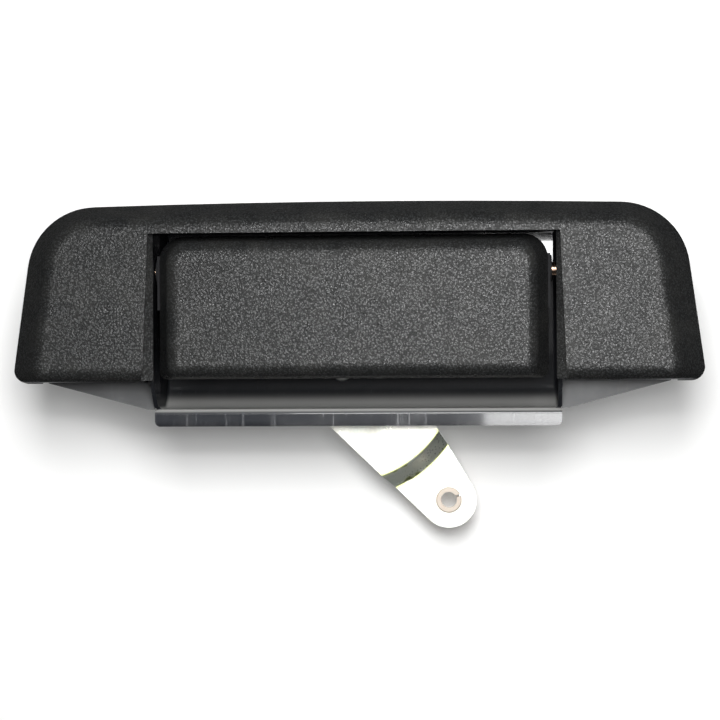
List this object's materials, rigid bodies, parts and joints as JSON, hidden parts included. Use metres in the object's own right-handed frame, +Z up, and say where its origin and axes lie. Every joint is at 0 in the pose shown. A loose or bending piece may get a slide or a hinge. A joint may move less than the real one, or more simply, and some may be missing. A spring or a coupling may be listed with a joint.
{
  "type": "car door handle",
  "caption": "Lift-up rear door handle: tapered black trim round a hinged paddle, stamped steel pan with side wings, spring-returned, driving a zigzag bell crank with rod bushes.",
  "frame": {"origin": "centre of the rectangle of four mounting studs, on the rear face of the wing plates, which is the plane of the tailgate's outer skin", "axes": "+X to the right and +Z up as seen by someone facing the handle; +Y into the tailgate, so the paddle faces -Y"},
  "size_m": [0.2504, 0.0625, 0.1206],
  "materials": {
    "trim_plastic": "fine grained black",
    "paddle_plastic": "fine grained black",
    "gasket_rubber": "matte black",
    "black_steel": "gloss black over drawn steel",
    "primed_steel": "dark grey coat",
    "zinc_steel": "bright zinc",
    "chromate_steel": "zinc with faint yellow passivation",
    "copper_steel": "copper-washed steel",
    "spring_steel": "oiled spring wire",
    "black_acetal": "smooth black bearing plastic",
    "nylon": "natural nylon"
  },
  "bodies": {
    "frame": {"bezel": "trim_plastic", "bezel_gasket": "gasket_rubber", "bezel_screws": "zinc_steel", "frame_pan": "black_steel", "wing_right": "primed_steel", "wing_left": "primed_steel", "mounting_studs": "zinc_steel", "hinge_pin": "copper_steel", "hinge_pin_clip": "spring_steel", "return_spring": "spring_steel", "tongue_bumper": "gasket_rubber", "pivot_rivet": "zinc_steel", "pivot_washer": "nylon"},
    "paddle": {"paddle_cover": "paddle_plastic", "paddle_carrier": "black_steel", "paddle_screws": "zinc_steel", "ear_bush_left": "black_acetal", "ear_bush_right": "black_acetal", "drive_tongue": "zinc_steel", "tongue_rivets": "zinc_steel"},
    "crank": {"bell_crank": "chromate_steel", "rod_bush_lower": "nylon", "rod_bush_upper": "nylon", "drive_pin": "zinc_steel", "drive_sleeve": "nylon"}
  },
  "joints": [
    {"name": "paddle_pivot", "type": "hinge", "parent": "frame", "child": "paddle", "pos_m": [0, -0.004, 0.012], "axis": [-1, 0, 0], "range_deg": [0, 30], "stiffness_Nm_per_rad": 0.4, "springref_deg": -28.65, "deforming": ["return_spring"]},
    {"name": "crank_pivot", "type": "hinge", "parent": "frame", "child": "crank", "pos_m": [-0.007, 0.025, -0.024], "axis": [0, 1, 0], "range_deg": [0, 30]}
  ],
  "couplings": [
    {"joint": "crank_pivot", "follows": "paddle_pivot", "ratio": 1}
  ]
}
